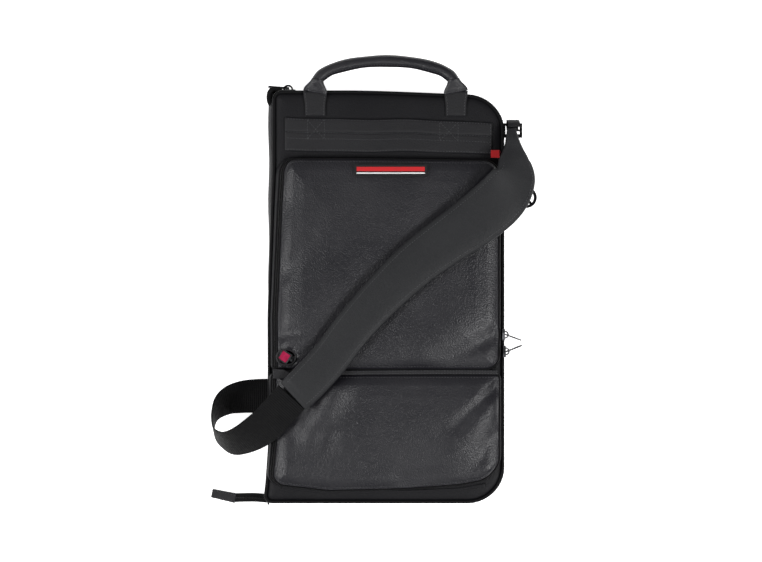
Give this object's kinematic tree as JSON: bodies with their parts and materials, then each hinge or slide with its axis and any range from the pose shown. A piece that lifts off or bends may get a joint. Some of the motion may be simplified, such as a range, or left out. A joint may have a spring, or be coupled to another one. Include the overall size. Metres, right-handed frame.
{
  "type": "drum stick bag",
  "caption": "Flat black leatherette bag for drum sticks that unzips like a book, with front pockets, an arched carrying handle and a padded shoulder strap.",
  "frame": {"origin": "middle of the back panel's flat outer face, on which the bag lies", "axes": "+Z out of the front pockets, +Y towards the carrying handle, +X towards the side that unzips"},
  "size_m": [0.3774, 0.5265, 0.1055],
  "materials": {
    "leatherette": "fine pebble grain, satin",
    "leatherette_dark": "fine grain, satin, stitched",
    "piped_edge": "smooth piped leatherette",
    "webbing": "ribbed polypropylene weave",
    "zip_tape": "woven herringbone tape",
    "zip_coil": "nylon coil",
    "lining": "plain nylon lining",
    "board": "plastic sheet",
    "foam": "closed-cell foam",
    "gunmetal": "dark nickel plate",
    "black_metal": "black nickel",
    "red_trim": "red woven and enamel",
    "label": "woven label with one red stripe over a thin white one"
  },
  "bodies": {
    "root": {"back_shell": "leatherette", "back_piping": "piped_edge", "back_stiffener": "board", "back_lining": "lining", "stick_sleeves": "lining", "main_zip_tape_back": "zip_tape", "main_zip_coil_back": "zip_coil", "spine_panel": "leatherette", "strap_anchor": "leatherette_dark", "strap_webbing_lower": "webbing", "zip_tail_tape": "webbing", "zip_tail_tab": "leatherette_dark"},
    "handle": {"handle_cover": "leatherette", "handle_core": "foam", "handle_end_left": "leatherette", "handle_end_right": "leatherette"},
    "main_slider": {"main_zip_slider": "gunmetal"},
    "main_pull": {"main_zip_pull": "gunmetal"},
    "upper_slider": {"upper_pocket_slider": "gunmetal"},
    "upper_pull": {"upper_pocket_pull": "gunmetal"},
    "lower_slider": {"lower_pocket_slider": "gunmetal"},
    "lower_pull": {"lower_pocket_pull": "gunmetal"},
    "badge_slider": {"garage_slider": "gunmetal", "badge_arm": "gunmetal", "badge_frame": "gunmetal", "badge_inlay": "red_trim"},
    "strap_ring": {"upper_d_ring": "black_metal"},
    "strap_hook": {"snap_hook": "black_metal"},
    "hook_gate": {"snap_hook_gate": "black_metal"},
    "front_cover": {"accessory_pocket": "lining", "front_lining": "lining", "front_piping": "piped_edge", "front_shell": "leatherette", "front_stiffener": "board", "garage_tab": "leatherette_dark", "handle_chape_left": "leatherette_dark", "handle_chape_right": "leatherette_dark", "hidden_zip_tape": "zip_tape", "lower_pocket_gusset": "leatherette", "lower_pocket_panel": "leatherette", "lower_pocket_zip_coil": "zip_coil", "lower_pocket_zip_tape": "zip_tape", "main_zip_coil_front": "zip_coil", "main_zip_tape_front": "zip_tape", "pad_backing": "webbing", "pocket_binding": "leatherette_dark", "red_tab": "red_trim", "shoulder_pad": "leatherette", "strap_adjuster": "black_metal", "swivel_eye": "black_metal", "upper_pocket_gusset": "leatherette", "upper_pocket_panel": "leatherette", "upper_pocket_zip_coil": "zip_coil", "upper_pocket_zip_tape": "zip_tape", "upper_ring_tab": "webbing", "upper_strap_tab": "leatherette_dark", "woven_label": "label", "yoke_band": "leatherette_dark"}
  },
  "joints": [
    {"name": "cover_hinge", "type": "hinge", "parent": "root", "child": "front_cover", "pos_m": [-0.1368, 0, 0.04], "axis": [0, -1, 0], "range_deg": [0, 150], "deforming": ["spine_panel", "strap_webbing_lower"]},
    {"name": "handle_fold", "type": "hinge", "parent": "front_cover", "child": "handle", "pos_m": [-0.0025, 0.238, 0.065], "axis": [1, 0, 0], "range_deg": [-25, 150]},
    {"name": "main_zip_travel", "type": "slide", "parent": "root", "child": "main_slider", "axis": [1, 0, 0], "range_m": [0, 0.19]},
    {"name": "main_pull_swing", "type": "hinge", "parent": "main_slider", "child": "main_pull", "pos_m": [-0.115, 0.24392, 0.04], "axis": [0, 0, -1], "range_deg": [0, 170]},
    {"name": "upper_pocket_zip_travel", "type": "slide", "parent": "front_cover", "child": "upper_slider", "axis": [0, 1, 0], "range_m": [0, 0.085]},
    {"name": "upper_pull_swing", "type": "hinge", "parent": "upper_slider", "child": "upper_pull", "pos_m": [0.1349, -0.04, 0.0676], "axis": [0, 0, 1], "range_deg": [-4, 105]},
    {"name": "lower_pocket_zip_travel", "type": "slide", "parent": "front_cover", "child": "lower_slider", "axis": [0, -1, 0], "range_m": [0, 0.13]},
    {"name": "lower_pull_swing", "type": "hinge", "parent": "lower_slider", "child": "lower_pull", "pos_m": [0.1359, -0.059, 0.0676], "axis": [0, 0, -1], "range_deg": [-4, 105]},
    {"name": "badge_zip_travel", "type": "slide", "parent": "front_cover", "child": "badge_slider", "axis": [1, 0, 0], "range_m": [0, 0.15]},
    {"name": "strap_ring_swing", "type": "hinge", "parent": "front_cover", "child": "strap_ring", "pos_m": [0.1435, 0.15, 0.052], "axis": [0, 0, 1], "range_deg": [0, 2]},
    {"name": "strap_hook_swivel", "type": "hinge", "parent": "front_cover", "child": "strap_hook", "pos_m": [0.1435, 0.1724, 0.052], "axis": [0, 1, 0], "range_deg": [-20, 20]},
    {"name": "hook_gate_open", "type": "hinge", "parent": "strap_hook", "child": "hook_gate", "pos_m": [0.151, 0.1784, 0.052], "axis": [0, 0, -1], "range_deg": [0, 15], "stiffness_Nm_per_rad": 0.02}
  ]
}
